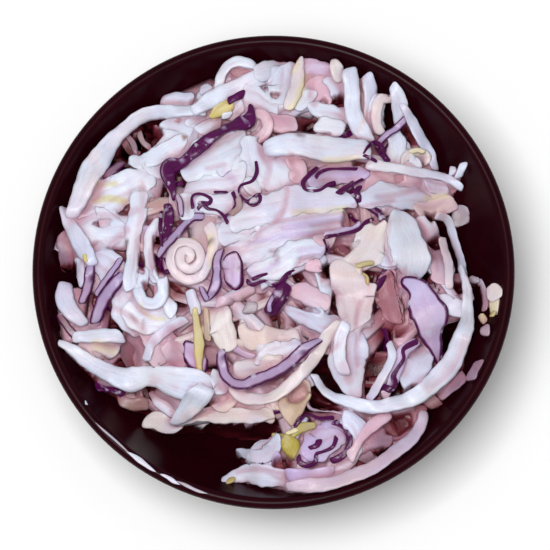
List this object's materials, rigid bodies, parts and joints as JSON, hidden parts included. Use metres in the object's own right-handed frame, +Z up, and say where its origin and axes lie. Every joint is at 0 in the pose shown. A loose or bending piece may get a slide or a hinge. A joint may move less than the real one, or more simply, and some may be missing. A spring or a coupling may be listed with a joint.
{
  "type": "coleslaw in a bowl",
  "caption": "Creamy coleslaw of shredded white and red cabbage, heaped in a small round bowl of dark glazed ceramic on a foot ring.",
  "frame": {"origin": "centre of the bowl's foot ring, on the surface that the bowl stands on", "axes": "+Z up, +X to the right and -Y towards the person who eats"},
  "size_m": [0.12, 0.12, 0.0539],
  "materials": {
    "glaze": "gloss",
    "slaw": "satin"
  },
  "bodies": {
    "root": {"bowl": "glaze", "coleslaw": "slaw"}
  },
  "joints": []
}
